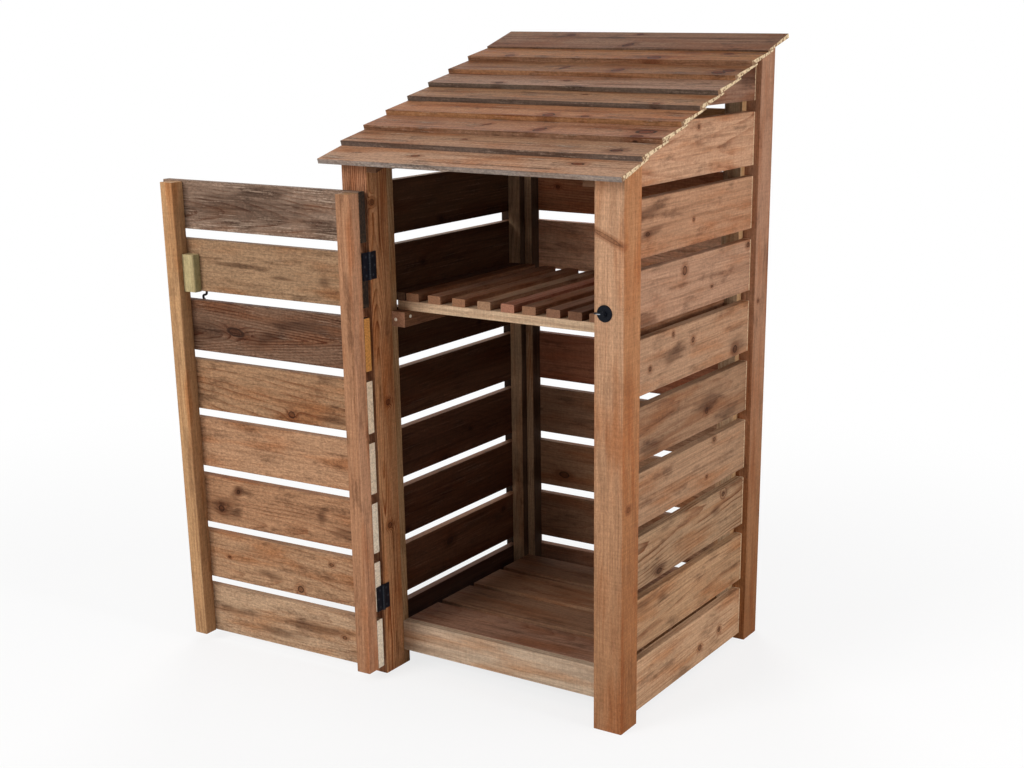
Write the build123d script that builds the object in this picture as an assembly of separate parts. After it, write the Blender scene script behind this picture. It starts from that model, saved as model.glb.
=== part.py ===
from build123d import *
import math
import os

# A log store with slatted sides and back, a slatted side-hung door and a lapped board roof.
# Millimetres, +Z up, +Y towards the back. The origin is the centre of the front left post's
# foot, and every post stands on Z = 0.

# Frame of four square posts
width = 745.0
depth = 725.0
post = 73.0
arris = 1.2

# Cladding slats, nailed to upright battens between the posts
slat_height = 126.0
slat_thick = 22.0
slat_gap = 25.4
slat_lowest = 16.0
slat_inset = 15.0
batten_wide = 36.0
batten_thick = 22.0

# Roof of lapped feather-edge boards on two rafters
roof_pitch_deg = 18.4
roof_eaves = 52.0
roof_rear_eaves = 24.0
roof_verge = 23.0
roof_front_z = 1253.0
board_wide = 119.0
board_widest_spacing = 95.0
board_thick_edge = 11.5
board_thin_edge = 4.0
ridge_thin_edge = 4.5
ridge_thick_edge = 10.0
rafter_wide = 28.0
rafter_deep = 35.0

# Floor and the rail in front of it
rail_low = 38.0
floor_top = 116.0
floor_bearer_high = 36.0
floor_narrowest_gap = 12.0

# Kindling shelf
shelf_bearer_wide = 38.0
shelf_bearer_low = 868.0
shelf_bearer_high = 36.0
shelf_rail_thick = 22.5
shelf_rail_wide = 36.0
shelf_setback = 25.0
shelf_rear_space = 45.5
shelf_slat_wide = 36.0
shelf_slat_thick = 19.0
shelf_slat_left_space = 25.5
shelf_slat_right_space = 34.0
shelf_slat_overhang = 14.5
# How far each slat, fixed by eye, lies to the right of even spacing
shelf_slat_drifts = (0.0, 0.0, 7.0, 15.0, 17.0, 12.0, 14.0, 8.0, 0.0)

# Door, sized inside the opening, and how far it stands open
door_open_deg = 178.0
door_edge_gap = 5.0
door_swing_gap = 6.0
door_slat_low = 25.6
door_slat_gap = 24.2
door_head_space = 60.2
stile_wide = 38.0
stile_deep = 37.4
stile_low = 24.6
stile_top_inset = 2.8
stile_edge_inset = 23.5
block_wide = 37.0
block_high = 91.0
block_below_top = 266.8
block_thick = 22.0

# Butt hinges
hinge_high = 64.0
lower_hinge_low = 174.0
upper_hinge_below_top = 202.8
hinge_names = ("lower", "upper")
leaf_thick = 2.2
leaf_wide = 20.5
knuckle_radius = 4.2
knuckle_count = 5
knuckle_gap = 0.3
pin_radius = 2.0
pin_clearance = 0.3
axis_forward = 5.5

# Latch plate and lever on the right-hand post, and the hook on the door
latch_from_edge = 26.0
latch_below_door_top = 222.1
plate_radius = 18.5
plate_thick = 3.0
pivot_radius = 3.0
pivot_clearance = 0.3
lever_gap = 0.4
lever_thick = 5.0
lever_high = 4.0
lever_reach = 21.0
lever_hub_radius = 6.0
pivot_head = 1.8
hook_from_edge = 92.0
hook_bend_below_top = 279.8
hook_wide = 5.0
hook_thick = 3.0
hook_radius = 6.0
hook_shank = 34.0
hook_boss_radius = 7.0
hook_boss_thick = 4.5

# Positions that follow from the sizes above
left_out = -post / 2
left_in = post / 2
right_in = width - 1.5 * post
right_out = width - post / 2
front_out = -post / 2
front_in = post / 2
rear_in = depth - 1.5 * post
rear_out = depth - post / 2
slat_pitch = slat_height + slat_gap
door_slat_pitch = slat_height + door_slat_gap
door_top = roof_front_z - door_head_space
hinge_lows = (lower_hinge_low, door_top - upper_hinge_below_top)
latch_z = door_top - latch_below_door_top
back_slat_front = rear_out - slat_inset - slat_thick
slope = math.radians(roof_pitch_deg)
roof_front_y = front_out - roof_eaves
shelf_rail_low = shelf_bearer_low + shelf_bearer_high
shelf_slat_low = shelf_rail_low + shelf_rail_thick
axis_x = left_in + door_edge_gap / 2
axis_y = front_out - axis_forward
door_left = left_in + door_edge_gap
door_right = right_in - door_swing_gap
door_back = front_out + slat_thick


def ease(shape, axis):
    return chamfer(shape.edges().filter_by(axis), arris)


def bar(x, y, z, along):
    """A straight bar between the given pairs of limits, its long edges eased."""
    size = (x[1] - x[0], y[1] - y[0], z[1] - z[0])
    middle = (sum(x) / 2, sum(y) / 2, sum(z) / 2)
    return ease(Pos(*middle) * Box(*size), along)


def on_roof(along, above):
    """The Y and Z of a point by its distance up the rafters and above their tops."""
    y = roof_front_y + along * math.cos(slope) - above * math.sin(slope)
    z = roof_front_z + along * math.sin(slope) + above * math.cos(slope)
    return (y, z)


def roof_z(y):
    return roof_front_z + (y - roof_front_y) * math.tan(slope)


def prism(points, x0, x1):
    """A solid with the given outline in Y and Z, from x0 to x1."""
    outline = Polygon(*points, align=None)
    return Pos(x0, 0, 0) * extrude(Plane.YZ * outline, amount=x1 - x0)


def below_roof(shape):
    reach = 2 * depth
    edges = [on_roof(-reach, 0), on_roof(reach, 0), on_roof(reach, reach), on_roof(-reach, reach)]
    return shape - prism(edges, -width, 2 * width)


def save(name, *shapes):
    solids = [solid for shape in shapes for solid in shape.solids()]
    export_step(Compound(children=solids) if len(solids) > 1 else solids[0], f"parts/{name}.step")


def upright(x, y, top):
    return below_roof(bar(x, y, (0, top), Axis.Z))


def frame():
    tall = roof_z(rear_out)
    lefts = (left_out, left_in)
    rights = (right_in, right_out)
    save("front_left_post", upright(lefts, (front_out, front_in), tall))
    save("front_right_post", upright(rights, (front_out, front_in), tall))
    save("rear_left_post", upright(lefts, (rear_in, rear_out), tall))
    save("rear_right_post", upright(rights, (rear_in, rear_out), tall))
    front = (front_in, front_in + batten_thick)
    rear = (rear_in - batten_thick, rear_in)
    for side, x in (("left", (left_in - batten_wide, left_in)), ("right", (right_in, right_in + batten_wide))):
        save(f"{side}_front_batten", upright(x, front, tall))
        save(f"{side}_rear_batten", upright(x, rear, tall))
    under_rafter = roof_z(rear_in) - rafter_deep / math.cos(slope)
    behind = (rear_in, back_slat_front)
    save("back_left_batten", bar((left_in, left_in + batten_thick), behind, (0, under_rafter), Axis.Z))
    save("back_right_batten", bar((right_in - batten_thick, right_in), behind, (0, under_rafter), Axis.Z))


def cladding():
    count = math.ceil((roof_z(rear_in) - slat_lowest) / slat_pitch)
    rows = [slat_lowest + slat_pitch * row for row in range(count)]
    between = (front_in, rear_in)
    for side, x0 in (("left", left_out + slat_inset), ("right", right_out - slat_inset - slat_thick)):
        x = (x0, x0 + slat_thick)
        save(f"{side}_side_slats", *[below_roof(bar(x, between, (z, z + slat_height), Axis.Y)) for z in rows])
    across = (left_in, right_in)
    y = (back_slat_front, back_slat_front + slat_thick)
    save("back_slats", *[below_roof(bar(across, y, (z, z + slat_height), Axis.X)) for z in rows])


def roof():
    rise = rafter_deep / math.cos(slope)
    ends = (front_out, back_slat_front)
    outline = [(ends[0], roof_z(ends[0]) - rise), (ends[1], roof_z(ends[1]) - rise)]
    outline += [(ends[1], roof_z(ends[1])), (ends[0], roof_z(ends[0]))]
    save("left_rafter", prism(outline, left_in, left_in + rafter_wide))
    save("right_rafter", prism(outline, right_in - rafter_wide, right_in))
    run = (depth + roof_eaves + roof_rear_eaves) / math.cos(slope) - board_wide
    spaces = math.ceil(run / board_widest_spacing)
    spacing = run / spaces
    lift = 0.0
    for number in range(spaces + 1):
        top_board = number == spaces
        front_edge = ridge_thin_edge if top_board else board_thick_edge
        rear_edge = ridge_thick_edge if top_board else board_thin_edge
        start = number * spacing
        end = start + board_wide
        corners = [on_roof(start, lift), on_roof(end, 0), on_roof(end, rear_edge)]
        corners.append(on_roof(start, lift + front_edge))
        board = prism(corners, left_out - roof_verge, right_out + roof_verge)
        save(f"roof_board_{number + 1}", board)
        share = spacing / board_wide
        lift = lift * (1 - share) + front_edge + (rear_edge - front_edge) * share


def floor():
    across = (left_in, right_in)
    behind_rail = front_in + slat_thick
    save("front_bottom_rail", bar(across, (front_in, behind_rail), (rail_low, floor_top), Axis.X))
    slat_z = (floor_top - slat_thick, floor_top)
    bearer_z = (slat_z[0] - floor_bearer_high, slat_z[0])
    for side, x in (("left", (left_in, left_in + batten_thick)), ("right", (right_in - batten_thick, right_in))):
        save(f"{side}_floor_bearer", bar(x, (behind_rail, rear_in), bearer_z, Axis.Y))
    space = rear_in - behind_rail
    count = math.floor((space + floor_narrowest_gap) / (slat_height + floor_narrowest_gap))
    step = (space - slat_height) / (count - 1)
    starts = [behind_rail + step * number for number in range(count)]
    save("floor_slats", *[bar(across, (y, y + slat_height), slat_z, Axis.X) for y in starts])


def shelf():
    bearer_z = (shelf_bearer_low, shelf_rail_low)
    left = (left_in, left_in + shelf_bearer_wide)
    right = (right_in - shelf_bearer_wide, right_in)
    for side, x in (("left", left), ("right", right)):
        save(f"{side}_shelf_bearer", bar(x, (front_in, rear_in), bearer_z, Axis.Y))
    front = front_in + shelf_setback
    rear = rear_in - shelf_rear_space
    rail_z = (shelf_rail_low, shelf_slat_low)
    across = (left_in, right_in)
    save("shelf_front_rail", bar(across, (front, front + shelf_rail_wide), rail_z, Axis.X))
    save("shelf_rear_rail", bar(across, (rear - shelf_rail_wide, rear), rail_z, Axis.X))
    slat_z = (shelf_slat_low, shelf_slat_low + shelf_slat_thick)
    first = left_in + shelf_slat_left_space
    last = right_in - shelf_slat_right_space - shelf_slat_wide
    step = (last - first) / (len(shelf_slat_drifts) - 1)
    starts = [first + step * number + drift for number, drift in enumerate(shelf_slat_drifts)]
    # One more fills the space at the left, over the bearer and between the side's battens
    starts.insert(0, left_in - shelf_slat_overhang)
    save("shelf_slats", *[bar((x, x + shelf_slat_wide), (front, rear), slat_z, Axis.Y) for x in starts])


def opened(shape):
    """A piece of the closed door, turned to where the door stands open."""
    return shape.rotate(Axis((axis_x, axis_y, 0), (0, 0, 1)), -door_open_deg)


def door():
    across = (door_left, door_right)
    thick = (front_out, door_back)
    count = math.ceil((door_top - door_slat_low) / door_slat_pitch)
    lows = [door_slat_low + door_slat_pitch * row for row in range(count)]
    highs = [min(low + slat_height, door_top) for low in lows]
    save("door_slats", *[opened(bar(across, thick, z, Axis.X)) for z in zip(lows, highs)])
    inside = (door_back, door_back + stile_deep)
    tall = (stile_low, door_top - stile_top_inset)
    free = door_right - stile_edge_inset
    save("door_hinge_stile", opened(bar((door_left, door_left + stile_wide), inside, tall, Axis.Z)))
    save("door_latch_stile", opened(bar((free - stile_wide, free), inside, tall, Axis.Z)))
    block_x = (free - stile_wide - block_wide, free - stile_wide)
    block_low = door_top - block_below_top
    block_z = (block_low, block_low + block_high)
    save("door_block", opened(bar(block_x, (door_back, door_back + block_thick), block_z, Axis.Z)))
    save("door_hook", opened(hook()))


def hook():
    """A flat strap on the door's outer face, its lower end bent to an S below the slat."""
    shank = Line((0, hook_shank), (0, hook_radius))
    outward = CenterArc((hook_radius, hook_radius), hook_radius, 180, 90)
    inward = CenterArc((hook_radius, -hook_radius), hook_radius, 90, -180)
    strap = extrude(trace(shank + outward + inward, hook_wide), amount=hook_thick)
    boss = Pos(0, hook_shank, hook_boss_thick / 2) * Cylinder(hook_boss_radius, hook_boss_thick)
    place = Pos(door_right - hook_from_edge, front_out, door_top - hook_bend_below_top)
    return place * Rot(90, 0, 0) * (strap + boss)


def knuckles(low, own):
    """The barrel lengths that belong to one leaf, as a list of Z limits."""
    step = hinge_high / knuckle_count
    numbers = [number for number in range(knuckle_count) if (number % 2 == 0) == own]
    return [(low + step * number, low + step * (number + 1)) for number in numbers]


def barrel(z, radius):
    return Pos(axis_x, axis_y, sum(z) / 2) * Cylinder(radius, z[1] - z[0])


def leaf(x, low, own):
    """A hinge leaf standing in Y and Z with its share of the barrel."""
    start = axis_y + knuckle_radius + knuckle_gap
    plate = Pos(sum(x) / 2, start + leaf_wide / 2, low + hinge_high / 2)
    shape = plate * Box(x[1] - x[0], leaf_wide, hinge_high)
    for z in knuckles(low, own):
        trim = 0 if own else knuckle_gap
        span = (z[0] + trim, z[1] - trim)
        neck = Pos(sum(x) / 2, (axis_y + start) / 2, sum(span) / 2)
        shape += neck * Box(x[1] - x[0], start - axis_y, span[1] - span[0])
        shape += barrel(span, knuckle_radius)
    return shape


def hinges():
    for name, low in zip(hinge_names, hinge_lows):
        whole = (low, low + hinge_high)
        fixed = leaf((left_in, left_in + leaf_thick), low, True) + barrel(whole, pin_radius)
        save(f"{name}_hinge_post_leaf", fixed)
        moving = leaf((door_left - leaf_thick, door_left), low, False)
        moving -= barrel(whole, pin_radius + pin_clearance)
        save(f"{name}_hinge_door_leaf", opened(moving))


def disc(radius, y0, y1):
    """A round piece on the latch's axis, from y0 to y1 in front of the post."""
    centre = (right_in + latch_from_edge, front_out - (y0 + y1) / 2, latch_z)
    return Pos(*centre) * Rot(90, 0, 0) * Cylinder(radius, y1 - y0)


def latch():
    lever_back = plate_thick + lever_gap
    lever_front = lever_back + lever_thick
    head_back = lever_front + lever_gap
    plate = disc(plate_radius, 0, plate_thick)
    plate = chamfer(plate.faces().sort_by(Axis.Y)[0].edges(), plate_thick / 2)
    plate += disc(pivot_radius, 0, head_back)
    plate += disc(lever_hub_radius - 1, head_back, head_back + pivot_head)
    save("latch_plate", plate)
    hub = disc(lever_hub_radius, lever_back, lever_front)
    axis = right_in + latch_from_edge
    arm_x = axis - lever_reach / 2
    arm_y = front_out - (lever_back + lever_front) / 2
    arm = Pos(arm_x, arm_y, latch_z) * Box(lever_reach, lever_thick, lever_high)
    hub += arm
    hub -= disc(pivot_radius + pivot_clearance, 0, head_back)
    save("latch_lever", hub)


os.makedirs("parts", exist_ok=True)
frame()
cladding()
roof()
floor()
shelf()
door()
hinges()
latch()
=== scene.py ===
from functools import partial
import math
import random

import bmesh
import bpy
from mathutils import Matrix, Vector


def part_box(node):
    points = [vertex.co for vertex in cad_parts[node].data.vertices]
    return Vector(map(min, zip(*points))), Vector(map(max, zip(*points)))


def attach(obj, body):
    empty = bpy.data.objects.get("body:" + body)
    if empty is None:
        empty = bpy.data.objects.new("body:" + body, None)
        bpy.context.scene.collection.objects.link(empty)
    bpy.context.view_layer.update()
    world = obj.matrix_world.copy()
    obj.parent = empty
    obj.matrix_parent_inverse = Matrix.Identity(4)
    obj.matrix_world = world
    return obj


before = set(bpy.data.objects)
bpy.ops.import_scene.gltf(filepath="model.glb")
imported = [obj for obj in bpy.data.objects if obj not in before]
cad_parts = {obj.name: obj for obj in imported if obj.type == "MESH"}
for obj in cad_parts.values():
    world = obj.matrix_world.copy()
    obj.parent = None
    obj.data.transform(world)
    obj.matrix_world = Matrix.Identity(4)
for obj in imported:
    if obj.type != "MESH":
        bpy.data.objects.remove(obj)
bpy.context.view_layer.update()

MM = 0.001
PHOTO_WIDTH = 1024
PHOTO_HEIGHT = 768

# Camera, worked out from the photograph's straight edges
FOCAL_PX = 1546.6
SIGHT_PX = (577.1, 488.4)
CAMERA_PLACE = (2.2862, -2.8319, 1.5908)
CAMERA_TURN_DEG = 31.21
CAMERA_DOWN_DEG = 17.30
CAMERA_ROLL_DEG = -0.11
SENSOR_MM = 36.0

# The store's repeats in millimetres, as built
SLAT_ROWS = 10
SLAT_PITCH = 151.4
SLAT_HEIGHT = 126.0
DOOR_ROWS = 8
DOOR_PITCH = 150.2
FLOOR_ROWS = 4
SHELF_SLAT_WIDTH = 36.0
SHELF_SLAT_EDGES = (0.0, 37.5, 88.0, 150.0, 226.0, 293.0, 354.0, 416.0, 477.0, 533.0)
DOOR_AXIS = (39.0, -42.0)
DOOR_OPEN_DEG = 178.0
POST_FACE = 36.5

X, Y, Z = 0, 1, 2

# How a board was cut from its tree, in millimetres: the pith lies up to ASIDE to either side of the
# board's middle and from NEAREST to DEEPER more below it, the rings drift by up to TAPER a millimetre
# along the board and lie up to WIDEST_RING apart, wander by RING_BEND and swell round a knot
ASIDE = 90.0
NEAREST = 6.0
DEEPER = 80.0
TAPER = 0.25
WIDEST_RING = 30.0
RING_BEND = 60.0
KNOT_SWELL = 15.0

# Depth of the sawn timber's roughness, the heights down which a post is painted darker towards its
# foot as painted shade, how far chips reach in from an end, and how far up a roof board's end the
# saw tore it, in millimetres
ROUGHNESS_DEPTH = 0.9
FOOT_FADES = (-1200.0, -100.0)
CHIPPED = (1.0, 9.0)
TORN = (6.0, 18.0)

# Length and width of each kind of mark on the timber, in millimetres
FIBRE = (150.0, 3.2)
STREAK = (420.0, 12.0)
PATCH = (110.0, 34.0)
WARMTH = (240.0, 44.0)
SPECKLE = (9.0, 4.5)
SAW_MARK = (3.2, 90.0)
RING_SWAY = (520.0, 260.0)
RING_WOBBLE = (110.0, 18.0)
RING_FADING = (170.0, 26.0)

# How far apart two boards, and two nodes, lie in the pattern, so that no two look the same
BOARD_STEP = (9000.0, 1700.0)
NODE_STEP = 431.0

# Specks to a metre in the metal finishes
PEEL_SPECKS = 700.0
DUST_SPECKS = 260.0
CLOUD_SPECKS = 500.0

# Studio, in metres: the paper's own glow drowns the shadow between two distances, the sky lights
# the object at a share of the white that the camera sees, and each lamp has a place, size and power
FLOOR_HALF_WIDTH = 12.0
FLOOR_FADES = (1.2, 3.0)
FLOOR_GLOW = 0.78
SKY_ON_OBJECT = 0.22
LAMP_AIM = (0.35, 0.3, 0.75)
LAMPS = (
    ("front", (-1.5, -4.4, 2.9), 2.2, 175.0), ("side", (4.1, 0.9, 2.3), 2.2, 44.0),
    ("edge", (4.2, -0.14, 1.5), 0.6, 54.0), ("top", (0.3, -0.4, 4.6), 2.2, 28.0),
    ("rear", (-2.2, 3.6, 2.6), 2.2, 90.0))

# Screws, in millimetres: head radius and rise, and the places of a leaf's three as a distance from
# the hinge's axis and a share of the leaf's height
LEAF_SCREW = (3.0, 0.15)
BEARER_SCREW = (4.2, 1.2)
LEAF_SCREW_PLACES = ((12.5, 0.16), (18.5, 0.5), (12.5, 0.84))
POST_LEAF_FACE = 38.7
DOOR_LEAF_FACE = 39.3

# A bearer's two screws: in its end, off the middle and up, and in its side, back and up
BEARER_END_SCREW = (8.0, 17.0)
BEARER_SIDE_SCREW = (22.0, 24.0)

# Where the lever's painted highlight lies: along it and up it, radius and stretch
LEVER_HIGHLIGHT = (12.5, 4.6, 1.6, 5.5)


def linear(code):
    """A colour written as an sRGB hex value, as the shader wants it."""
    parts = [int(code[i:i + 2], 16) / 255 for i in (1, 3, 5)]
    return tuple(p / 12.92 if p <= 0.04045 else ((p + 0.055) / 1.055) ** 2.4 for p in parts) + (1.0,)


def add(tree, kind, feeds=(), output=0, stops=(), hard=False, **settings):
    """Adds a node with its settings, colour stops and inputs, and gives back one of its outputs."""
    made = tree.nodes.new("ShaderNode" + kind)
    for key, value in settings.items():
        setattr(made, key, value)
    if stops:
        made.color_ramp.interpolation = "CONSTANT" if hard else "LINEAR"
        points = made.color_ramp.elements
        while len(points) < len(stops):
            points.new(1.0)
        while len(points) > len(stops):
            points.remove(points[-1])
        for point, (place, tone) in zip(points, stops):
            point.position = place
            point.color = linear(tone) if isinstance(tone, str) else tone
    for key, value in feeds.items() if isinstance(feeds, dict) else enumerate(feeds):
        if isinstance(value, bpy.types.NodeSocket):
            tree.links.new(value, made.inputs[key])
        else:
            made.inputs[key].default_value = linear(value) if isinstance(value, str) else value
    return made.outputs[output] if made.outputs else made


def new_material(name):
    """A material with a bare surface shader, and the tree and shader to work on."""
    material = bpy.data.materials.new(name)
    material.use_nodes = True
    tree = material.node_tree
    tree.nodes.clear()
    surface = add(tree, "BsdfPrincipled")
    add(tree, "OutputMaterial", {"Surface": surface})
    return material, tree, surface.node


def shade(tree, colour, pattern, low, high, darkest, lightest):
    """Darkens a colour where the pattern is low and lightens it where it is high."""
    steps = (pattern, low, high, darkest, lightest)
    light = add(tree, "MapRange", steps, interpolation_type="SMOOTHSTEP")
    return add(tree, "Mix", {0: 1.0, 6: colour, 7: light}, 2, data_type="RGBA", blend_type="MULTIPLY")


def soak(tree, colour, pattern, low, high, most, tone, blend="MULTIPLY"):
    """Lets a second tone into a colour where the pattern is high."""
    share = add(tree, "MapRange", (pattern, low, high, 0.0, most), interpolation_type="SMOOTHSTEP")
    return add(tree, "Mix", {0: share, 6: colour, 7: tone}, 2, data_type="RGBA", blend_type=blend)


def limits(node):
    """The lowest and highest corners of a CAD node, in millimetres."""
    low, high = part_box(node)
    return [value / MM for value in low], [value / MM for value in high]


def by_row(tree, board, values):
    """The value that belongs to each board of a panel."""
    stops = [(edge / board["span"], value) for edge, value in zip(board["edges"], values)]
    return add(tree, "ValToRGB", {"Fac": board["share"]}, stops=stops, hard=True)


def board_space(tree, node, along, across, edges, seed):
    """Where a point lies on its own board, in millimetres along it, up it and into it."""
    new = partial(add, tree)
    low, high = limits(node)
    through = X + Y + Z - along - across
    origin = [0.0, 0.0, 0.0]
    origin[across] = low[across]
    origin[through] = (low[through] + high[through]) / 2
    shift = tuple(-value for value in origin)
    place = new("TexCoord", output="Object")
    scaled = new("VectorMath", (place, (1 / MM,) * 3, shift), operation="MULTIPLY_ADD")
    parts = new("SeparateXYZ", (scaled,)).node.outputs
    run, rise, deep = parts[along], parts[across], parts[through]
    span = high[across] - low[across]
    share = new("Math", (rise, span), operation="DIVIDE")
    board = {"run": run, "rise": rise, "deep": deep, "span": span, "share": share, "edges": edges}
    starts = [(row / len(edges), edge / span, 0.0, 1.0) for row, edge in enumerate(edges)]
    own = new("SeparateColor", (by_row(tree, board, starts),)).node.outputs
    board["local"] = new("Math", (own[1], -span, rise), operation="MULTIPLY_ADD")
    moved = new("Math", (run, NODE_STEP * seed), operation="ADD")
    board["spot"] = new("CombineXYZ", (
        new("Math", (own[0], BOARD_STEP[0], moved), operation="MULTIPLY_ADD"),
        new("Math", (own[0], BOARD_STEP[1], board["local"]), operation="MULTIPLY_ADD"),
        deep))
    board["facing"] = new("SeparateXYZ", (new("TexCoord", output="Normal"),)).node.outputs
    return board


def streaks(tree, board, mark, detail=2.0, rough=0.5):
    """Random light and dark, drawn out along the board's grain."""
    length, width = mark
    shrink = (1 / length, 1 / width, 1 / width)
    squeezed = add(tree, "VectorMath", (board["spot"], shrink), operation="MULTIPLY")
    feeds = {"Vector": squeezed, "Scale": 1.0, "Detail": detail, "Roughness": rough}
    return add(tree, "TexNoise", feeds)


def reach(tree, board, spots):
    """Distance from the nearest spot's middle, in that spot's own radii. A spot goes right through
    its board, unless it has a depth and lies round that."""
    through_all, thickness = 1000.0, 1.5
    place = add(tree, "CombineXYZ", (board["run"], board["rise"], board["deep"]))
    nearest = None
    for run, rise, radius, stretch, lean, *depth in spots:
        middle = (run, rise, depth[0] if depth else 0.0)
        size = (stretch * radius, radius, thickness * radius if depth else through_all)
        turn = (0.0, 0.0, math.radians(lean))
        own = add(tree, "Mapping", (place, middle, turn, size), vector_type="TEXTURE")
        away = add(tree, "VectorMath", (own,), "Value", operation="LENGTH")
        nearest = away if nearest is None else add(tree, "Math", (nearest, away), operation="MINIMUM")
    return nearest


def growth_rings(tree, board, height, growth, knot_reach):
    """The dark late wood of each year's ring, round a pith beside and below the board."""
    new = partial(add, tree)
    drawn = [((aside / ASIDE + 1) / 2, (below - NEAREST) / DEEPER, (taper / TAPER + 1) / 2, strength)
             for aside, below, taper, strength, _ in growth]
    shape = by_row(tree, board, drawn)
    parts = new("SeparateColor", (shape,)).node.outputs
    middle = ASIDE - height / 2
    aside = new("Math", (parts[0], -2 * ASIDE, middle), operation="MULTIPLY_ADD")
    below = new("Math", (parts[1], DEEPER, NEAREST), operation="MULTIPLY_ADD")
    taper = new("Math", (parts[2], 2 * TAPER, -TAPER), operation="MULTIPLY_ADD")
    sway = streaks(tree, board, RING_SWAY, 1.0)
    sway = new("Math", (sway, RING_BEND, -RING_BEND / 2), operation="MULTIPLY_ADD")
    sideways = new("Math", (board["local"], aside), operation="ADD")
    sideways = new("Math", (sideways, sway), operation="ADD")
    downwards = new("Math", (board["deep"], below), operation="ADD")
    radius = new("VectorMath", (new("CombineXYZ", (sideways, downwards)),), "Value", operation="LENGTH")
    radius = new("Math", (board["run"], taper, radius), operation="MULTIPLY_ADD")
    if knot_reach:
        square = new("Math", (knot_reach, knot_reach), operation="MULTIPLY")
        swell = new("Math", (square, -0.25), operation="MULTIPLY")
        swell = new("Math", (swell,), operation="EXPONENT")
        radius = new("Math", (swell, KNOT_SWELL, radius), operation="MULTIPLY_ADD")
    wobble = streaks(tree, board, RING_WOBBLE)
    ring = by_row(tree, board, [(row[-1] / WIDEST_RING,) * 3 + (1.0,) for row in growth])
    ring = new("Math", (ring, WIDEST_RING), operation="MULTIPLY")
    year = new("Math", (radius, ring), operation="DIVIDE")
    year = new("Math", (wobble, 0.7, year), operation="MULTIPLY_ADD")
    within = new("Math", (year,), operation="FRACT")
    profile = (
        (0.0, "#000000"), (0.45, "#595959"), (0.86, "#f3f3f3"), (0.93, "#ffffff"), (1.0, "#000000"))
    late = new("ValToRGB", {"Fac": within}, stops=profile)
    faint = new("MapRange", (streaks(tree, board, RING_FADING), 0.35, 0.65, 0.3, 1.0))
    faint = new("Math", (faint, shape.node.outputs["Alpha"]), operation="MULTIPLY")
    return new("Math", (late, faint), operation="MULTIPLY")


def knotted(tree, colour, knot_reach, wobble, hearts, dark):
    """Knots: a dark ringed heart in a nearly black rim, with reddish wood drawn out beside it."""
    new = partial(add, tree)
    ragged = new("Math", (knot_reach, 0.45), operation="SUBTRACT")
    ragged = new("Math", (wobble, 0.9, ragged), operation="MULTIPLY_ADD")
    beside = new("MapRange", (ragged, 1.0, 3.4, 1.0, 0.0), interpolation_type="SMOOTHSTEP")
    colour = soak(tree, colour, beside, 0.0, 1.0, 0.5, "#b0805c")
    years = new("Math", (new("Math", (ragged, 3.4), operation="MULTIPLY"),), operation="FRACT")
    heart = new("Mix", {0: years, 6: hearts[0], 7: hearts[1]}, 2, data_type="RGBA")
    inside = new("MapRange", (ragged, 0.85, 1.05, 1.0, 0.0), interpolation_type="SMOOTHSTEP")
    colour = soak(tree, colour, inside, 0.0, 1.0, dark, heart)
    rim = new("Math", (new("Math", (ragged, 0.98), operation="SUBTRACT"),), operation="ABSOLUTE")
    rim = new("MapRange", (rim, 0.0, 0.3, 1.0, 0.0), interpolation_type="SMOOTHSTEP")
    return soak(tree, colour, rim, 0.0, 1.0, dark, "#2b1a12", "MIX")


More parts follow.
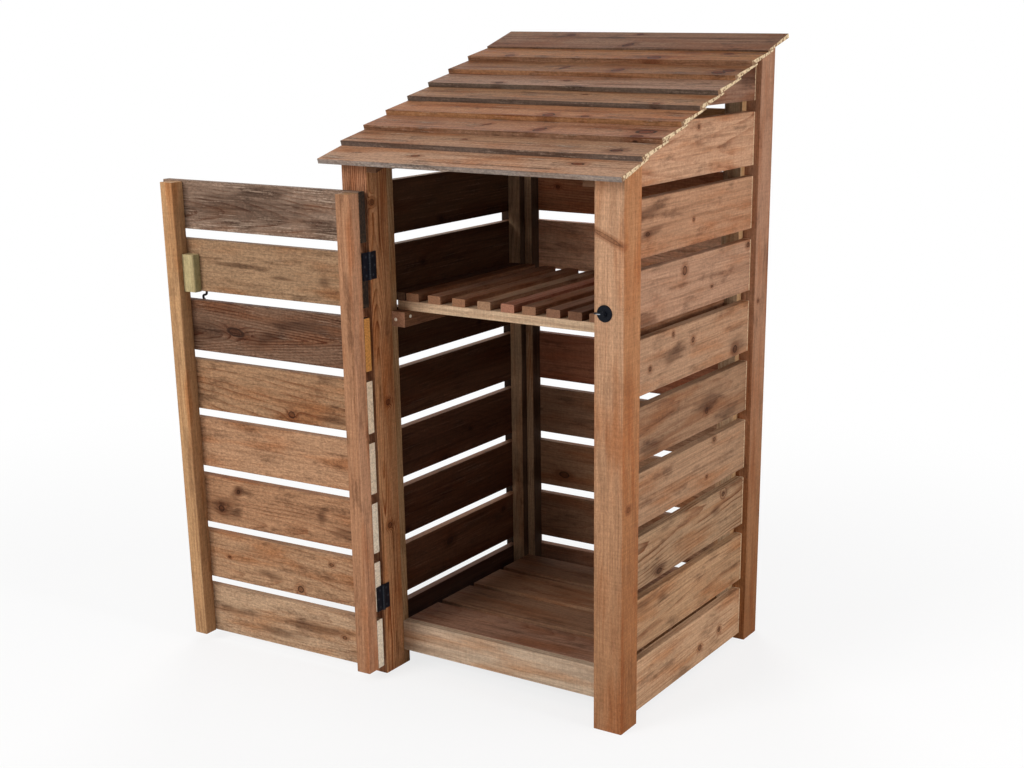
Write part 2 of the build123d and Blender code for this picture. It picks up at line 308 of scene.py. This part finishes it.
def softwood(node, along, across, tones, seed, edges=(0.0,), height=None, growth=None, knots=(),
             stains=(), hearts=("#d8c8bc", "#8a7464"), dark=0.8, faces=(), ends=("#b58d68",), foot=None,
             scuffed=(0.15,), chips=None, torn=0.3, rings=0.7, streaked=0.35, weather=0.5, saw=0.5,
             grime=0.5):
    """Sawn softwood, stained brown and weathered outdoors: growth rings, fibres, the saw's cross
    marks, knots, dark water stains and paler scuffs. It gives the eye a dry, uneven, streaky brown.
    Real fibres and saw marks are under 1 mm wide, and are drawn 3 mm wide so that they show."""
    material, tree, shader = new_material(node + "_softwood")
    new = partial(add, tree)
    board = board_space(tree, node, along, across, edges, seed)
    draw = random.Random(seed)
    if growth is None:
        ranges = ((-80, 80), (10, 80), (-0.11, 0.11), (0.3, 0.7), (5, 14))
        growth = [tuple(draw.uniform(*extent) for extent in ranges) for _ in edges]
    knot_reach = reach(tree, board, knots) if knots else None
    late = growth_rings(tree, board, height or board["span"], growth, knot_reach)
    fibre = streaks(tree, board, FIBRE)
    streak = streaks(tree, board, STREAK, 3.0)
    patch = streaks(tree, board, PATCH, 6.0, 0.65)
    warmth = streaks(tree, board, WARMTH, 3.0)
    speckle = streaks(tree, board, SPECKLE, 3.0, 0.75)
    cross = streaks(tree, board, SAW_MARK, 2.0, 0.6)

    colour = by_row(tree, board, tones)
    # A face turned along one axis takes a tone of its own; on several nodes this is painted light or
    # painted shade on that face.
    for axis, sign, tone, blend in faces:
        either = "MULTIPLY" if sign else "ABSOLUTE"
        aim = new("Math", (board["facing"][axis], float(sign)), operation=either)
        colour = soak(tree, colour, aim, 0.5, 0.8, 1.0, tone, blend)
    # A post is painted darker down towards its foot, as painted shade.
    if foot:
        downwards = new("Math", (board["run"], -1.0), operation="MULTIPLY")
        colour = soak(tree, colour, downwards, *FOOT_FADES, 1.0, foot)
    colour = soak(tree, colour, warmth, 0.45, 0.72, 0.7, "#e6bd98")
    colour = soak(tree, colour, late, 0.0, 1.0, rings, "#a87858")
    colour = soak(tree, colour, streak, 0.5, 0.74, streaked, "#8d6a50")
    colour = shade(tree, colour, fibre, 0.3, 0.7, 0.86, 1.12)
    colour = soak(tree, colour, patch, 0.52, 0.7, weather, "#7d675a")
    colour = shade(tree, colour, speckle, 0.3, 0.7, 1 - 0.32 * grime, 1 + 0.3 * grime)
    colour = shade(tree, colour, cross, 0.3, 0.7, 1 - 0.11 * saw, 1 + 0.08 * saw)
    pale_marks = new("Math", (patch, fibre), operation="ADD")
    pale_marks = new("Math", (speckle, 0.5, pale_marks), operation="MULTIPLY_ADD")
    bare = new("MapRange", (pale_marks, 1.28, 1.6, 0.0, 1.0), interpolation_type="SMOOTHSTEP")
    scuffs = by_row(tree, board, [(share,) * 3 + (1.0,) for share in scuffed])
    bare = new("Math", (bare, scuffs), operation="MULTIPLY")
    colour = soak(tree, colour, bare, 0.0, 1.0, 1.0, "#c2ab96", "MIX")
    if knots:
        colour = knotted(tree, colour, knot_reach, patch, hearts, dark)
    if stains:
        ragged = new("Math", (patch, -3.6, reach(tree, board, stains)), operation="MULTIPLY_ADD")
        ragged = new("Math", (speckle, -1.6, ragged), operation="MULTIPLY_ADD")
        wet = new("MapRange", (ragged, -2.5, -0.7, 1.0, 0.0), interpolation_type="SMOOTHSTEP")
        colour = soak(tree, colour, wet, 0.0, 1.0, 0.6, "#806a5e")
    if chips:
        inward = new("Math", (board["run"], chips), operation="SUBTRACT")
        inward = new("Math", (inward,), operation="ABSOLUTE")
        near = new("MapRange", (inward, *CHIPPED, 1.0, 0.0))
        bitten = new("Math", (speckle, near), operation="MULTIPLY")
        colour = soak(tree, colour, bitten, 0.3, 0.42, 0.8, "#d9bf9c", "MIX")

    # Across the ends the cut is paler, and rough where the saw tore it
    cut = new("Math", (board["facing"][along],), operation="ABSOLUTE")
    end = shade(tree, by_row(tree, board, ends), speckle, 0.3, 0.7, 0.78, 1.12)
    end = soak(tree, end, late, 0.0, 1.0, 0.35, "#b08a66")
    tear = new("TexNoise", {"Vector": board["spot"], "Scale": 0.14, "Detail": 3.0})
    more = new("MapRange", (board["local"], *TORN, 0.2, 0.0))
    tear = new("Math", (tear, more), operation="ADD")
    end = soak(tree, end, tear, 0.5, 0.6, torn, "#7d5c44", "MIX")
    colour = soak(tree, colour, cut, 0.7, 0.85, 1.0, end, "MIX")

    relief = new("Math", (fibre, 0.9), operation="MULTIPLY")
    relief = new("Math", (late, 0.25, relief), operation="MULTIPLY_ADD")
    relief = new("Math", (cross, 0.35 * saw, relief), operation="MULTIPLY_ADD")
    relief = new("Math", (speckle, 0.6, relief), operation="MULTIPLY_ADD")
    bump = new("Bump", {"Strength": 0.6, "Distance": ROUGHNESS_DEPTH * MM, "Height": relief})
    rough = new("MapRange", (speckle, 0.2, 0.8, 0.7, 0.9))
    for socket, value in (("Base Color", colour), ("Roughness", rough), ("Normal", bump)):
        tree.links.new(value, shader.inputs[socket])
    shader.inputs["Specular IOR Level"].default_value = 0.1
    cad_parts[node].data.materials.clear()
    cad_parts[node].data.materials.append(material)


def scatter(seed, low, high, starts, height, most=2, small=3.5, large=9.0):
    """A few knots on each board, for the boards whose own knots aren't seen."""
    draw = random.Random(seed)
    found = []
    for start in starts:
        for _ in range(draw.randint(1, most)):
            place = (draw.uniform(low + 30, high - 30), start + draw.uniform(0.12, 0.88) * height)
            shape = (draw.uniform(small, large), draw.uniform(1.2, 2.0), draw.uniform(-15, 15))
            found.append((*place, *shape))
    return found


def rows(pitch, count):
    """Where each board of an evenly spaced panel begins, taken half a gap early."""
    gap = pitch - SLAT_HEIGHT
    return [max(0.0, pitch * row - gap / 2) for row in range(count)]


def on_rows(pitch, spots):
    """Spots given by their row and height on it, as heights up the whole panel."""
    return [(run, row * pitch + height, *rest) for run, row, height, *rest in spots]


# Tones of each board of a panel, from the bottom up, and of the roof's from the eaves up. The shelf's
# go from left to right. DOOR_ENDS are the saw cuts beside the hinges, and ROOF_EDGES the front edges.
SIDE_TONES = (
    "#b38e6e", "#a37f5f", "#97785c", "#99775c", "#8b6a51", "#a07c61", "#a17b62", "#a1785c",
    "#b2896c", "#7f5e4c")
BACK_TONES = (
    "#96705a", "#8d6950", "#9a7458", "#8b6850", "#925d44", "#765b44", "#d3a384", "#af7452",
    "#b7865b", "#8a6652")
DOOR_TONES = (
    "#b49476", "#ab8565", "#a57b5b", "#ad8464", "#9e795a", "#765946", "#98785b", "#88705f")
# The top two door ends are painted nearly black, as painted shade below the upper hinge.
DOOR_ENDS = (
    "#f4e4cc", "#f2e0c8", "#f4e4cc", "#eed8bc", "#eed6b8", "#d2924e", "#2c231d", "#3a3029")
ROOF_TONES = (
    "#b28c71", "#9d775c", "#9b6e53", "#a16f4e", "#946d50", "#96745f", "#835b3f", "#91623d",
    "#7d5b46")
ROOF_EDGES = (
    "#8a7d74", "#6a5a50", "#8a664e", "#a2744f", "#66564b", "#66564a", "#9a6e4e", "#8e684e",
    "#6a5446")
SHELF_TONES = (
    "#5a4030", "#8a6248", "#93694e", "#94694d", "#a07c60", "#a8735c", "#91694f", "#86604a",
    "#6e4d3a", "#7d5943")

# How much of each door slat is rubbed pale
DOOR_SCUFFS = (0.3, 0.1, 0.1, 0.1, 0.1, 0.3, 0.2, 0.8)

# Each board's rings: how far the pith lies aside and below, drift, strength and ring spacing
SIDE_GROWTH = (
    (30, 50, 0.02, 0.5, 7), (-20, 60, -0.02, 0.7, 6), (60, 30, 0.03, 0.9, 8), (-70, 40, 0.01, 0.4, 9),
    (40, 55, 0.05, 0.5, 14), (-30, 70, 0.0, 0.3, 12), (10, 60, 0.04, 0.35, 14),
    (-40, 80, 0.02, 0.3, 12), (2, 6, -0.14, 0.6, 30), (30, 40, 0.0, 0.5, 9))
DOOR_GROWTH = (
    (30, 70, 0.03, 0.4, 8), (-30, 40, 0.05, 0.6, 10), (-40, 30, 0.04, 0.6, 10),
    (10, 80, 0.01, 0.3, 12), (-60, 30, 0.06, 0.7, 14), (2, 8, 0.09, 1.0, 7),
    (30, 60, 0.02, 0.3, 10), (-10, 50, 0.06, 0.7, 9))

# Knots that the photograph shows: place along the board, its row, height on it, radius, stretch
# and lean, and stains likewise. A roof board is a node of its own, so its knots have no row.
SIDE_KNOTS = (
    (323, 8, 108, 4.5, 1.2, 0), (307, 7, 56, 3.5, 1.2, 0), (91, 7, 49, 4, 2.2, 0),
    (268, 6, 98, 9, 1.0, 0), (407, 6, 41, 3, 1.6, 0), (600, 6, 114, 6, 1.3, 0),
    (217, 5, 112, 4.5, 1.0, 20), (316, 5, 82, 6, 1.1, 10), (109, 5, 53, 5, 1.2, 0),
    (543, 5, 18, 8, 1.3, 0), (396, 4, 47, 7, 1.1, 0), (441, 3, 116, 5, 1.4, 0),
    (404, 3, 31, 3.5, 1.3, 0), (499, 2, 112, 5, 1.4, 0), (166, 2, 15, 6, 1.8, 0),
    (496, 0, 53, 7, 1.0, 0), (388, 0, 42, 6.5, 1.2, 0))
SIDE_STAINS = (
    (90, 7, 96, 12, 5.0, 6), (110, 7, 52, 10, 6.0, 6), (60, 6, 8, 16, 5.0, 0),
    (215, 5, 62, 16, 2.6, 20), (548, 5, 24, 24, 1.8, 0), (400, 4, 66, 22, 2.6, 10),
    (520, 4, 20, 18, 3.0, 0), (130, 4, 20, 14, 4.0, 0), (458, 2, 81, 14, 2.0, 0),
    (150, 2, 18, 16, 3.0, 0), (99, 1, 106, 12, 3.6, 0), (180, 1, 96, 8, 3.0, 0),
    (560, 9, 60, 26, 2.0, 0), (300, 0, 8, 8, 6.0, 0))
DOOR_KNOTS = (
    (-352, 5, 56, 10, 2.6, -8), (-192, 4, 19, 8, 1.1, 0), (-440, 2, 42, 8, 1.1, 0),
    (-380, 2, 95, 5, 1.2, 40), (-196, 1, 16, 8, 1.1, 0), (-94, 1, 99, 4, 1.4, 0),
    (-424, 1, 63, 3, 1.6, 0), (-64, 0, 61, 4, 1.6, 0))
DOOR_STAINS = (
    (-300, 7, 60, 34, 5.0, 0), (-72, 6, 54, 12, 1.5, 0), (-220, 7, 96, 14, 4.0, 4),
    (-70, 7, 30, 14, 3.0, 0), (-330, 6, 72, 5, 12.0, 0), (-200, 6, 50, 4, 10.0, 0),
    (-455, 5, 50, 24, 2.2, 0), (-262, 5, 46, 18, 1.8, 20), (-150, 5, 90, 12, 6.0, 0),
    (-60, 4, 20, 8, 5.0, 0), (-437, 2, 45, 26, 1.3, 0), (-385, 2, 92, 12, 1.8, 30),
    (-118, 2, 62, 12, 1.6, 60), (-40, 2, 40, 12, 3.0, 0), (-300, 1, 40, 8, 5.0, -8),
    (-385, 0, 66, 10, 6.0, 0), (-273, 0, 32, 12, 5.0, 0), (-150, 0, 70, 12, 6.0, 0))
ROOF_KNOTS = (
    ((180, 50, 4.5, 2.5, 10), (595, 57, 6, 2.5, 0)),
    ((252, 55, 3.5, 2, 0), (654, 31, 8, 1.8, 10)),
    ((413, 27, 9.5, 1.6, 50), (258, 47, 4.5, 2.2, 40), (671, 43, 13, 1.8, 0), (666, 10, 7, 2, 0)),
    ((390, 16, 11.5, 1.2, 0), (485, 14, 6, 1.5, 0)),
    ((405, 63, 3.5, 2, 0), (620, 8, 4.5, 2, 0)),
    ((142, 15, 7, 1.4, 0), (310, 50, 4.5, 2, 0)),
    ((259, 40, 6, 2.4, 60), (414, 28, 9.5, 1.5, 40), (679, 22, 10, 1.6, 0), (696, 42, 9.5, 1.5, 0)),
    ((468, 19, 11.5, 1.5, 0), (59, 17, 8, 1.5, 0), (642, 65, 6, 2, 0)),
    ((344, 24, 8, 1.8, 40), (337, 99, 4.5, 2, 0), (141, 90, 6, 2, 0)))


def dress_cladding():
    """The slats of both sides and of the back."""
    edges = rows(SLAT_PITCH, SLAT_ROWS)
    low, high = limits("right_side_slats")
    softwood(
        "right_side_slats", Y, Z, SIDE_TONES, 11, edges, SLAT_HEIGHT, SIDE_GROWTH,
        on_rows(SLAT_PITCH, SIDE_KNOTS), on_rows(SLAT_PITCH, SIDE_STAINS), chips=high[Y], rings=1.0)
    knots = scatter(37, low[Y], high[Y], edges, SLAT_HEIGHT)
    # The left slats' inner faces are multiplied darker, as painted shade inside the store.
    softwood(
        "left_side_slats", Y, Z, SIDE_TONES[::-1], 37, edges, SLAT_HEIGHT, knots=knots,
        faces=((X, 1, "#7c6a60", "MULTIPLY"),))
    low, high = limits("back_slats")
    knots = scatter(53, low[X], high[X], edges, SLAT_HEIGHT)
    softwood("back_slats", X, Z, BACK_TONES, 53, edges, SLAT_HEIGHT, knots=knots)


def dress_posts():
    """The four posts. Their knots lie at the faces that show them."""
    front_face, inner_face = -POST_FACE, 2 * POST_FACE
    spike = ((1131.0, 32.0, 4.5, 8.5, 114.0, front_face), (534.0, inner_face, 4.5, 1.3, 0.0, -10.0))
    softwood(
        "front_right_post", Z, X, ("#c09574",), 71, growth=((10, 70, 0.01, 0.5, 4),), knots=spike,
        dark=0.45, faces=((X, 0, "#a6744f", "MIX"),), foot="#dbcebf", streaked=0.15, weather=0.2,
        saw=0.75)
    places = ((1165, -21), (688, 9), (381, -2))
    inner = [(height, inner_face, 4.5, 1.4, 0.0, deep) for height, deep in places]
    # The front-left post's inner face, facing +X, gets a brighter tone of its own, as painted light.
    softwood(
        "front_left_post", Z, X, ("#b2805f",), 73, growth=((60, 20, 0.01, 1.0, 5),), knots=inner,
        faces=((X, 1, "#c28d62", "MIX"),), streaked=0.8, rings=1.0)
    mark = ((896.0, inner_face, 3.0, 1.3, 0.0, -16.0),)
    softwood(
        "rear_right_post", Z, X, ("#a3765a",), 79, growth=((60, 50, 0.01, 0.6, 4),), knots=mark,
        faces=((X, 0, "#9c745c", "MIX"),), foot="#ddcaa6")
    # The rear-left post's front face is painted nearly black, as painted shade inside the store.
    softwood(
        "rear_left_post", Z, X, ("#7a5a44",), 83, growth=((50, 50, 0.01, 0.6, 5),),
        faces=((Y, -1, "#33241b", "MIX"),))


def dress_framing():
    """Battens, rafters, the bottom rail, the floor and the kindling shelf."""
    battens = (
        "left_front_batten", "left_rear_batten", "right_front_batten", "right_rear_batten",
        "back_left_batten", "back_right_batten")
    # The two battens in the back-left corner get dark inner faces, as painted shade.
    shaded = ("left_rear_batten", "back_left_batten")
    for number, node in enumerate(battens):
        inner = "#4d3a2d" if node in shaded else "#b08c66"
        softwood(node, Z, X, ("#a98a6c",), 101 + number, faces=((X, 1, inner, "MIX"),))
    for number, node in enumerate(("left_rafter", "right_rafter")):
        softwood(node, Y, Z, ("#7c5a44",), 121 + number, ends=("#6b4c38",))
    softwood(
        "front_bottom_rail", X, Z, ("#bea58c",), 131, growth=((20, 60, 0.03, 0.5, 7),), weather=0.3)
    bearers = ("left_floor_bearer", "right_floor_bearer", "left_shelf_bearer", "right_shelf_bearer")
    for number, node in enumerate(bearers):
        softwood(node, Y, Z, ("#8a6248",), 141 + number, ends=("#b08064",))
    low, high = limits("floor_slats")
    pitch = (high[Y] - low[Y] - SLAT_HEIGHT) / (FLOOR_ROWS - 1)
    softwood("floor_slats", X, Y, BACK_TONES[:FLOOR_ROWS], 151, rows(pitch, FLOOR_ROWS), SLAT_HEIGHT)
    softwood("shelf_front_rail", X, Z, ("#c8aa8b",), 161, weather=0.25, saw=0.8, rings=0.4)
    softwood("shelf_rear_rail", X, Z, ("#9a7c60",), 162)
    softwood(
        "shelf_slats", Y, X, SHELF_TONES, 171, SHELF_SLAT_EDGES, SHELF_SLAT_WIDTH,
        growth=((0, 30, 0.03, 0.6, 6),) * len(SHELF_TONES), ends=SHELF_TONES)


def dress_roof():
    """Nine lapped boards, greyer and more worn towards the eaves."""
    for number, (tone, edge, knots) in enumerate(zip(ROOF_TONES, ROOF_EDGES, ROOF_KNOTS)):
        softwood(
            f"roof_board_{number + 1}", X, Y, (tone,), 201 + number, knots=knots,
            hearts=("#d8a884", "#94583a"), dark=0.9, faces=((Y, -1, edge, "MIX"),), ends=("#d8c09c",),
            scuffed=(0.6 - 0.05 * number,), torn=0.95, streaked=0.7, weather=0.8, grime=0.8)


def dress_door():
    """The door's slats, the two stiles across them and the pale block."""
    softwood(
        "door_slats", X, Z, DOOR_TONES, 301, rows(DOOR_PITCH, DOOR_ROWS), SLAT_HEIGHT, DOOR_GROWTH,
        on_rows(DOOR_PITCH, DOOR_KNOTS), on_rows(DOOR_PITCH, DOOR_STAINS), ends=DOOR_ENDS,
        scuffed=DOOR_SCUFFS, torn=0.15, rings=1.0, weather=0.6, grime=0.9)
    # The hinge stile's side facing +X gets a brighter tone of its own, as painted light.
    softwood(
        "door_hinge_stile", Z, X, ("#a87a5a",), 311, growth=((30, 60, 0.0, 0.5, 5),),
        faces=((X, 1, "#c08f6e", "MIX"),))
    # The latch stile's side facing +X gets a darker tone of its own, as painted shade.
    softwood(
        "door_latch_stile", Z, X, ("#b68c63",), 312, growth=((30, 60, 0.0, 0.5, 5),),
        faces=((X, 1, "#9d7652", "MIX"),), weather=0.3)
    # The block's side facing +X gets a darker tone of its own, as painted shade.
    softwood(
        "door_block", Z, X, ("#b3a278",), 313, faces=((X, 1, "#918862", "MIX"),), ends=("#b8a77c",),
        rings=0.2, weather=0.1)


def black_steel(name, light, dust_and_sheen_share, gloss):
    """Black stove-enamelled steel: nearly black with a soft gloss, and dust in its pits, both tinted
    blue as a painted highlight. The specks of dust are under 1 mm wide, and are drawn 4 mm wide so
    that they show."""
    material, tree, shader = new_material(name)
    new = partial(add, tree)
    place = new("TexCoord", output="Object")
    peel = new("TexNoise", {"Vector": place, "Scale": PEEL_SPECKS, "Detail": 3.0})
    dust_and_sheen = new("TexNoise", {"Vector": place, "Scale": DUST_SPECKS, "Detail": 4.0, "Roughness": 0.7})
    # The blue of the steel's tones and of its dust specks is a painted highlight, like the knuckles'
    # blue sheen.
    colour = new("ValToRGB", {"Fac": peel}, stops=((0.3, "#04060e"), (0.7, light)))
    colour = soak(tree, colour, dust_and_sheen, 0.6, 0.72, dust_and_sheen_share, "#66708c", "MIX")
    rough = new("MapRange", (peel, 0.3, 0.7, 0.34, 0.5))
    bump = new("Bump", {"Strength": 0.3, "Distance": 0.2 * MM, "Height": peel})
    for socket, value in (("Base Color", colour), ("Roughness", rough), ("Normal", bump)):
        tree.links.new(value, shader.inputs[socket])
    shader.inputs["Specular IOR Level"].default_value = gloss
    return material


def highlighted_steel(name, node, spot):
    """Black stove-enamelled steel with a painted highlight in one place, a pale line on the lever."""
    material, tree, shader = new_material(name)
    new = partial(add, tree)
    scaled = new("VectorMath", (new("TexCoord", output="Object"), (1 / MM,) * 3), operation="MULTIPLY")
    parts = new("SeparateXYZ", (scaled,)).node.outputs
    away = reach(tree, {"run": parts[X], "rise": parts[Z], "deep": parts[Y]}, (spot,))
    grain = new("TexNoise", {"Vector": scaled, "Scale": 0.4, "Detail": 3.0})
    ragged = new("Math", (grain, 0.6, away), operation="MULTIPLY_ADD")
    bright = new("MapRange", (ragged, 0.8, 1.6, 1.0, 0.0))
    colour = soak(tree, "#0d1017", bright, 0.0, 1.0, 0.9, "#aab0ba", "MIX")
    tree.links.new(colour, shader.inputs["Base Color"])
    tree.links.new(new("MapRange", (grain, 0.3, 0.7, 0.35, 0.5)), shader.inputs["Roughness"])
    shader.inputs["Specular IOR Level"].default_value = 0.2
    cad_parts[node].data.materials.clear()
    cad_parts[node].data.materials.append(material)


def zinc_plate(name):
    """Zinc-plated steel, passivated yellow: pale, warm metal, a little clouded, as on the screws."""
    material, tree, shader = new_material(name)
    place = add(tree, "TexCoord", output="Object")
    cloud = add(tree, "TexNoise", {"Vector": place, "Scale": CLOUD_SPECKS, "Detail": 2.0})
    colour = add(tree, "ValToRGB", {"Fac": cloud}, stops=((0.3, "#ddd4c0"), (0.7, "#faf4e6")))
    tree.links.new(colour, shader.inputs["Base Color"])
    tree.links.new(add(tree, "MapRange", (cloud, 0.3, 0.7, 0.5, 0.65)), shader.inputs["Roughness"])
    shader.inputs["Metallic"].default_value = 1.0
    return material


def screw_head(name, place, out, size, body, material, turn=None):
    """A round screw head with a rolled edge and a dimpled middle, facing along `out`."""
    radius, rise = size
    shape = bmesh.new()
    profile = ((1.0, 0.0), (0.96, 0.55), (0.8, 0.9), (0.5, 1.0), (0.34, 0.98), (0.26, 0.35), (0.0, 0.3))
    points = [shape.verts.new((radius * across, 0.0, rise * up)) for across, up in profile]
    edges = [shape.edges.new(pair) for pair in zip(points, points[1:])]
    bmesh.ops.spin(
        shape, geom=points + edges, axis=(0, 0, 1), cent=(0, 0, 0), angle=math.tau, steps=20,
        use_merge=True)
    bmesh.ops.remove_doubles(shape, verts=shape.verts, dist=radius * 0.001)
    bmesh.ops.recalc_face_normals(shape, faces=shape.faces)
    move = Matrix.Translation(place) @ Vector(out).to_track_quat("Z", "Y").to_matrix().to_4x4()
    shape.transform(Matrix.Scale(MM, 4) @ (turn or Matrix()) @ move)
    mesh = bpy.data.meshes.new(name)
    shape.to_mesh(mesh)
    shape.free()
    mesh.materials.append(material)
    for face in mesh.polygons:
        face.use_smooth = True
    head = bpy.data.objects.new(name, mesh)
    bpy.context.scene.collection.objects.link(head)
    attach(head, body)


def dress_hardware():
    """Hinge leaves, latch plate, lever and hook, and the heads of the screws that hold them."""
    steel = black_steel("stove_enamelled_steel", "#0c1220", 0.1, 0.3)
    matt = black_steel("matt_enamelled_steel", "#0b0f18", 0.15, 0.1)
    dust_and_sheen_steel = black_steel("black_steel_dust_and_sheen", "#4a4e56", 0.8, 0.3)
    zinc = zinc_plate("zinc_plated_steel")
    leaves = [f"{level}_hinge_{side}_leaf" for side in ("post", "door") for level in ("upper", "lower")]
    for node in (*leaves, "latch_plate", "door_hook"):
        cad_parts[node].data.materials.clear()
        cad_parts[node].data.materials.append(matt if node == "latch_plate" else steel)
    # The lever's pale line is a painted highlight.
    low, high = limits("latch_lever")
    along, up, radius, stretch = LEVER_HIGHLIGHT
    pale_marks = (low[X] + along, low[Z] + up, radius, stretch, 0.0, low[Y])
    highlighted_steel("black_steel_painted_highlight", "latch_lever", pale_marks)

    hinge_axis = Matrix.Translation((*DOOR_AXIS, 0.0))
    turn = Matrix.Rotation(math.radians(-DOOR_OPEN_DEG), 4, "Z")
    opened = hinge_axis @ turn @ hinge_axis.inverted()
    for level in ("upper", "lower"):
        low, high = limits(f"{level}_hinge_post_leaf")
        for number, (from_axis, share) in enumerate(LEAF_SCREW_PLACES):
            y = DOOR_AXIS[1] + from_axis
            height = low[Z] + share * (high[Z] - low[Z])
            screw_head(f"{level}_post_screw_{number + 1}", (POST_LEAF_FACE, y, height), (1, 0, 0),
                       LEAF_SCREW, "cabinet", dust_and_sheen_steel)
            screw_head(f"{level}_door_screw_{number + 1}", (DOOR_LEAF_FACE, y, height), (-1, 0, 0),
                       LEAF_SCREW, "door", dust_and_sheen_steel, opened)
    for side, sign in (("left", 1), ("right", -1)):
        low, high = limits(f"{side}_shelf_bearer")
        inner = high[X] if sign == 1 else low[X]
        aside, up = BEARER_END_SCREW
        end = ((low[X] + high[X]) / 2 - sign * aside, low[Y], low[Z] + up)
        screw_head(f"{side}_bearer_end_screw", end, (0, -1, 0), BEARER_SCREW, "cabinet", zinc)
        back, up = BEARER_SIDE_SCREW
        flank = (inner, low[Y] + back, low[Z] + up)
        screw_head(f"{side}_bearer_side_screw", flank, (sign, 0, 0), BEARER_SCREW, "cabinet", zinc)


def studio():
    """A floor of matt white paper that keeps a faint shadow, a white backdrop and soft lamps."""
    mesh = bpy.data.meshes.new("studio_floor")
    shape = bmesh.new()
    bmesh.ops.create_grid(shape, x_segments=1, y_segments=1, size=FLOOR_HALF_WIDTH)
    shape.to_mesh(mesh)
    shape.free()
    floor = bpy.data.objects.new("studio_floor", mesh)
    bpy.context.scene.collection.objects.link(floor)
    material, tree, shader = new_material("studio_paper")
    shader.inputs["Base Color"].default_value = linear("#f2f2f2")
    shader.inputs["Roughness"].default_value = 0.9
    new = partial(add, tree)
    path = new("LightPath").node.outputs
    seen = new("Math", (path["Is Camera Ray"], path["Is Glossy Ray"]), operation="MAXIMUM")
    away = new("VectorMath", (new("TexCoord", output="Object"),), "Value", operation="LENGTH")
    white = new("MapRange", (away, *FLOOR_FADES, FLOOR_GLOW, 1.0), interpolation_type="SMOOTHSTEP")
    share = new("Math", (seen, white), operation="MULTIPLY")
    glow = new("Emission", {"Color": "#ffffff", "Strength": 1.0})
    paper = new("MixShader", (share, shader.outputs[0], glow))
    tree.links.new(paper, tree.nodes["Material Output"].inputs["Surface"])
    mesh.materials.append(material)

    world = bpy.data.worlds.new("studio_world")
    bpy.context.scene.world = world
    world.use_nodes = True
    tree = world.node_tree
    tree.nodes.clear()
    new = partial(add, tree)
    path = new("LightPath").node.outputs
    seen = new("Math", (path["Is Camera Ray"], path["Is Glossy Ray"]), operation="MAXIMUM")
    strength = new("MapRange", (seen, 0.0, 1.0, SKY_ON_OBJECT, 1.0))
    new("OutputWorld", {"Surface": new("Background", {"Color": "#ffffff", "Strength": strength})})
    for name, place, size, power in LAMPS:
        light = bpy.data.lights.new(name, "AREA")
        light.size = size
        light.energy = power
        lamp = bpy.data.objects.new(name, light)
        lamp.location = place
        aim = Vector(LAMP_AIM) - Vector(place)
        lamp.rotation_euler = aim.to_track_quat("-Z", "Y").to_euler()
        bpy.context.scene.collection.objects.link(lamp)


def camera():
    """The photograph's viewpoint, with its off-centre crop as a shift of the lens."""
    lens = bpy.data.cameras.new("camera")
    lens.sensor_fit = "HORIZONTAL"
    lens.sensor_width = SENSOR_MM
    lens.lens = FOCAL_PX / PHOTO_WIDTH * SENSOR_MM
    lens.shift_x = (PHOTO_WIDTH / 2 - SIGHT_PX[0]) / PHOTO_WIDTH
    lens.shift_y = (SIGHT_PX[1] - PHOTO_HEIGHT / 2) / PHOTO_WIDTH
    seen = bpy.data.objects.new("camera", lens)
    seen.location = CAMERA_PLACE
    seen.rotation_euler = (math.radians(90 - CAMERA_DOWN_DEG), 0.0, math.radians(CAMERA_TURN_DEG))
    seen.rotation_euler.rotate_axis("Z", math.radians(CAMERA_ROLL_DEG))
    bpy.context.scene.collection.objects.link(seen)
    bpy.context.scene.camera = seen


dress_cladding()
dress_posts()
dress_framing()
dress_roof()
dress_door()
dress_hardware()
studio()
camera()
bpy.context.scene.view_settings.view_transform = "Standard"
